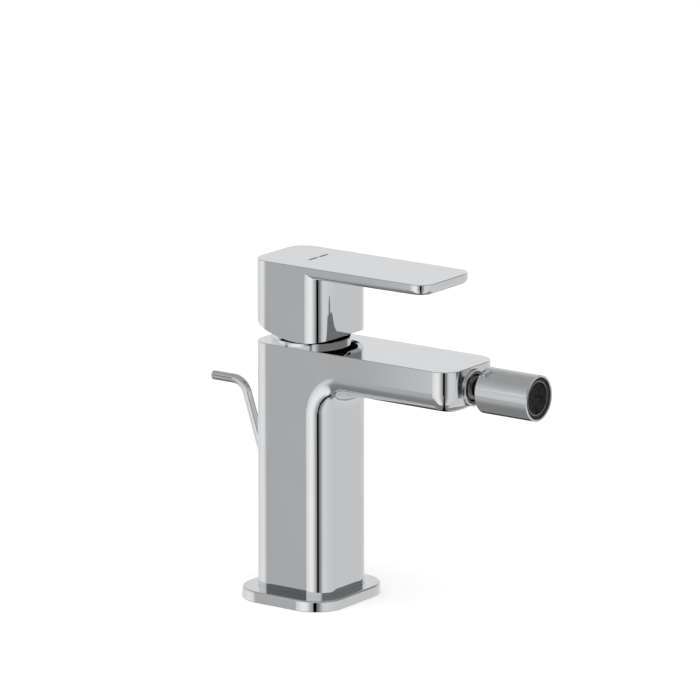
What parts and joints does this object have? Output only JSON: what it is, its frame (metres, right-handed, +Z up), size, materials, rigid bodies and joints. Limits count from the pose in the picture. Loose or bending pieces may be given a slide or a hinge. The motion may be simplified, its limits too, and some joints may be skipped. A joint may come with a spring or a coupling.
{
  "type": "bidet mixer tap",
  "caption": "Single-lever bidet mixer: square column with level spout, swivelling ball-joint aerator, flat lever on a ceramic-disc cartridge, and a bent pop-up waste rod.",
  "frame": {"origin": "centre of the base flange's underside, on the column's axis, where the mixer stands on the ceramic", "axes": "+Z up along the column; the spout and lever point along -Y and the pop-up rod stands behind, at +Y; the part is mirror-symmetric about X = 0"},
  "size_m": [0.064, 0.2111, 0.1846],
  "materials": {
    "chrome": "mirror-bright chrome plating on brass",
    "black_rubber": "matt black moulded rubber",
    "black_plastic": "satin black moulded acetal",
    "screen": "dark satin stream screen",
    "white_plastic": "natural moulded acetal",
    "grey_plastic": "silver-grey moulded plastic",
    "ceramic": "lapped alumina",
    "brass": "turned brass",
    "steel": "stainless steel"
  },
  "bodies": {
    "mixer_body": {"body": "chrome", "inlet_block": "brass", "base_flange": "chrome", "base_gasket": "black_rubber", "rod_guide": "black_plastic", "cartridge_base": "white_plastic", "cartridge_seals": "black_rubber", "fixed_disc": "ceramic", "cartridge_housing": "white_plastic", "cartridge_nut": "brass", "cartridge_collar": "chrome", "ball_seal": "black_rubber", "ball_retaining_ring": "chrome"},
    "rotor": {"cartridge_rotor": "white_plastic", "stem_pin": "steel"},
    "lever": {"handle": "chrome", "cartridge_stem": "brass", "handle_screw": "steel", "screw_cover": "grey_plastic"},
    "disc_slider": {"moving_disc": "ceramic", "disc_carrier": "white_plastic"},
    "ball_cup": {"ball_seat": "white_plastic"},
    "nozzle": {"swivel_ball": "chrome", "aerator_housing": "chrome", "aerator_seal": "black_rubber", "aerator_insert": "black_plastic", "aerator_screen": "screen"},
    "pull_rod": {"popup_rod": "chrome"}
  },
  "joints": [
    {"name": "handle_turn", "type": "hinge", "parent": "mixer_body", "child": "rotor", "pos_m": [0, 0, 0.144], "axis": [0, 0, 1], "range_deg": [-45, 45]},
    {"name": "handle_lift", "type": "hinge", "parent": "rotor", "child": "lever", "pos_m": [0, 0, 0.144], "axis": [-1, 0, 0], "range_deg": [0, 20]},
    {"name": "disc_slide", "type": "slide", "parent": "rotor", "child": "disc_slider", "axis": [0, -1, 0], "range_m": [0, 0.0077]},
    {"name": "nozzle_turn", "type": "hinge", "parent": "mixer_body", "child": "ball_cup", "pos_m": [0, -0.1, 0.1286], "axis": [0, 1, 0], "continuous": true},
    {"name": "nozzle_tilt", "type": "hinge", "parent": "ball_cup", "child": "nozzle", "pos_m": [0, -0.1, 0.1286], "axis": [1, 0, 0], "range_deg": [-15, 15]},
    {"name": "rod_lift", "type": "slide", "parent": "mixer_body", "child": "pull_rod", "axis": [0, 0.314, 0.9494], "range_m": [0, 0.025]}
  ],
  "couplings": [
    {"joint": "disc_slide", "follows": "handle_lift", "m_per_rad": 0.021888}
  ]
}
